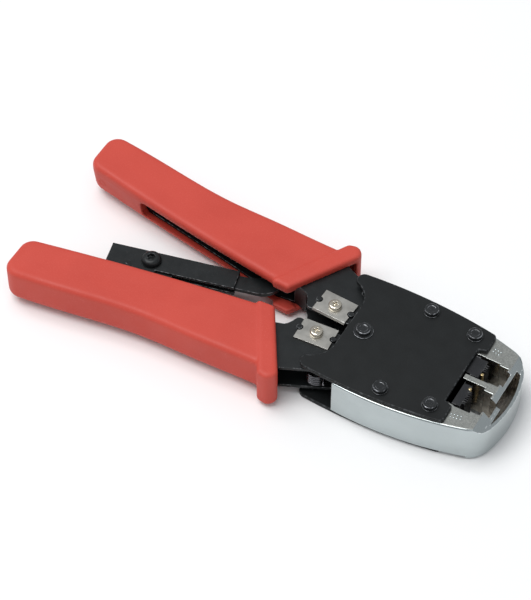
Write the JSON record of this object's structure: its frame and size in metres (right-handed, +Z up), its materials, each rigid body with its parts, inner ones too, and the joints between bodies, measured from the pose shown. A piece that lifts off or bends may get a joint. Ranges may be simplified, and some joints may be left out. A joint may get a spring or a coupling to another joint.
{
  "type": "crimping tool",
  "caption": "Hand crimping tool for modular telephone and network plugs, with two spring levers, cutting blades, a die slide, plug nests and a ratchet link.",
  "frame": {"origin": "middle of the tool's length and width, on the surface that it lies on", "axes": "+X from the grips to the nose, +Y towards the handle beside the narrow nest, +Z up out of the top plate"},
  "size_m": [0.2124, 0.0872, 0.0231],
  "materials": {
    "red_grip": "moulded soft PVC, slightly satin",
    "black_plate": "satin black coating",
    "polished_frame": "polished die casting",
    "blade_steel": "ground blade steel",
    "nickel_screw": "nickel plated",
    "brass": "turned",
    "spring_steel": "oiled spring wire",
    "blackened_steel": "blackened pressed steel",
    "tool_steel": "blackened hardened steel",
    "black_pin": "blackened turned steel"
  },
  "bodies": {
    "head": {"top_plate": "black_plate", "bottom_plate": "black_plate", "head_frame": "polished_frame", "centre_pin": "black_pin", "centre_pin_washer": "black_pin", "upper_lever_pin": "black_pin", "lower_lever_pin": "black_pin", "frame_pins": "black_pin", "lever_washers": "black_pin", "centre_spacer": "black_pin"},
    "die_slide": {"die_carriage": "tool_steel", "die_8p": "tool_steel", "die_6p": "tool_steel", "die_guide_pins": "brass", "die_screws": "black_pin"},
    "upper_handle": {"upper_lever": "blackened_steel", "upper_grip": "red_grip", "upper_blade": "blade_steel", "upper_blade_screw": "nickel_screw", "upper_blade_studs": "black_pin", "upper_spring_pin": "black_pin", "upper_return_spring": "spring_steel", "rack_pin": "black_pin"},
    "lower_handle": {"lower_lever": "blackened_steel", "lower_grip": "red_grip", "lower_blade": "blade_steel", "lower_blade_screw": "nickel_screw", "lower_blade_studs": "black_pin", "lower_spring_pin": "black_pin", "lower_return_spring": "spring_steel", "link_bracket": "blackened_steel", "link_screw": "black_pin", "link_collar": "black_pin"},
    "link": {"link_housing": "blackened_steel", "pawl_pin": "black_pin", "pawl_spring": "spring_steel"},
    "rack": {"link_rack": "blackened_steel"},
    "pawl": {"pawl": "blackened_steel"}
  },
  "joints": [
    {"name": "upper_lever_hinge", "type": "hinge", "parent": "head", "child": "upper_handle", "pos_m": [0.0586, 0.02235, 0.0105], "axis": [0, 0, 1], "range_deg": [-3, 3.3], "stiffness_Nm_per_rad": 1.5},
    {"name": "lower_lever_hinge", "type": "hinge", "parent": "head", "child": "lower_handle", "pos_m": [0.0586, -0.02235, 0.0105], "axis": [0, 0, 1], "range_deg": [-3.3, 3], "stiffness_Nm_per_rad": 1.5},
    {"name": "die_slide_travel", "type": "slide", "parent": "head", "child": "die_slide", "axis": [1, 0, 0], "range_m": [-0.00098, 0.00107]},
    {"name": "link_hinge", "type": "hinge", "parent": "lower_handle", "child": "link", "pos_m": [-0.05765, -0.0046, 0.0105], "axis": [0, 0, 1], "range_deg": [-6.81, 6.19]},
    {"name": "rack_travel", "type": "slide", "parent": "link", "child": "rack", "axis": [0.9736, 0.2284, 0], "range_m": [-0.0037, 0.00337]},
    {"name": "pawl_hinge", "type": "hinge", "parent": "link", "child": "pawl", "pos_m": [-0.06561, -0.01006, 0.0105], "axis": [0, 0, 1], "range_deg": [-5, 0], "stiffness_Nm_per_rad": 0.005, "springref_deg": 5.73}
  ],
  "couplings": [
    {"joint": "lower_lever_hinge", "follows": "upper_lever_hinge", "ratio": -1},
    {"joint": "die_slide_travel", "follows": "upper_lever_hinge", "m_per_rad": 0.01855},
    {"joint": "link_hinge", "follows": "upper_lever_hinge", "ratio": -2.0608},
    {"joint": "rack_travel", "follows": "upper_lever_hinge", "m_per_rad": -0.06421}
  ]
}
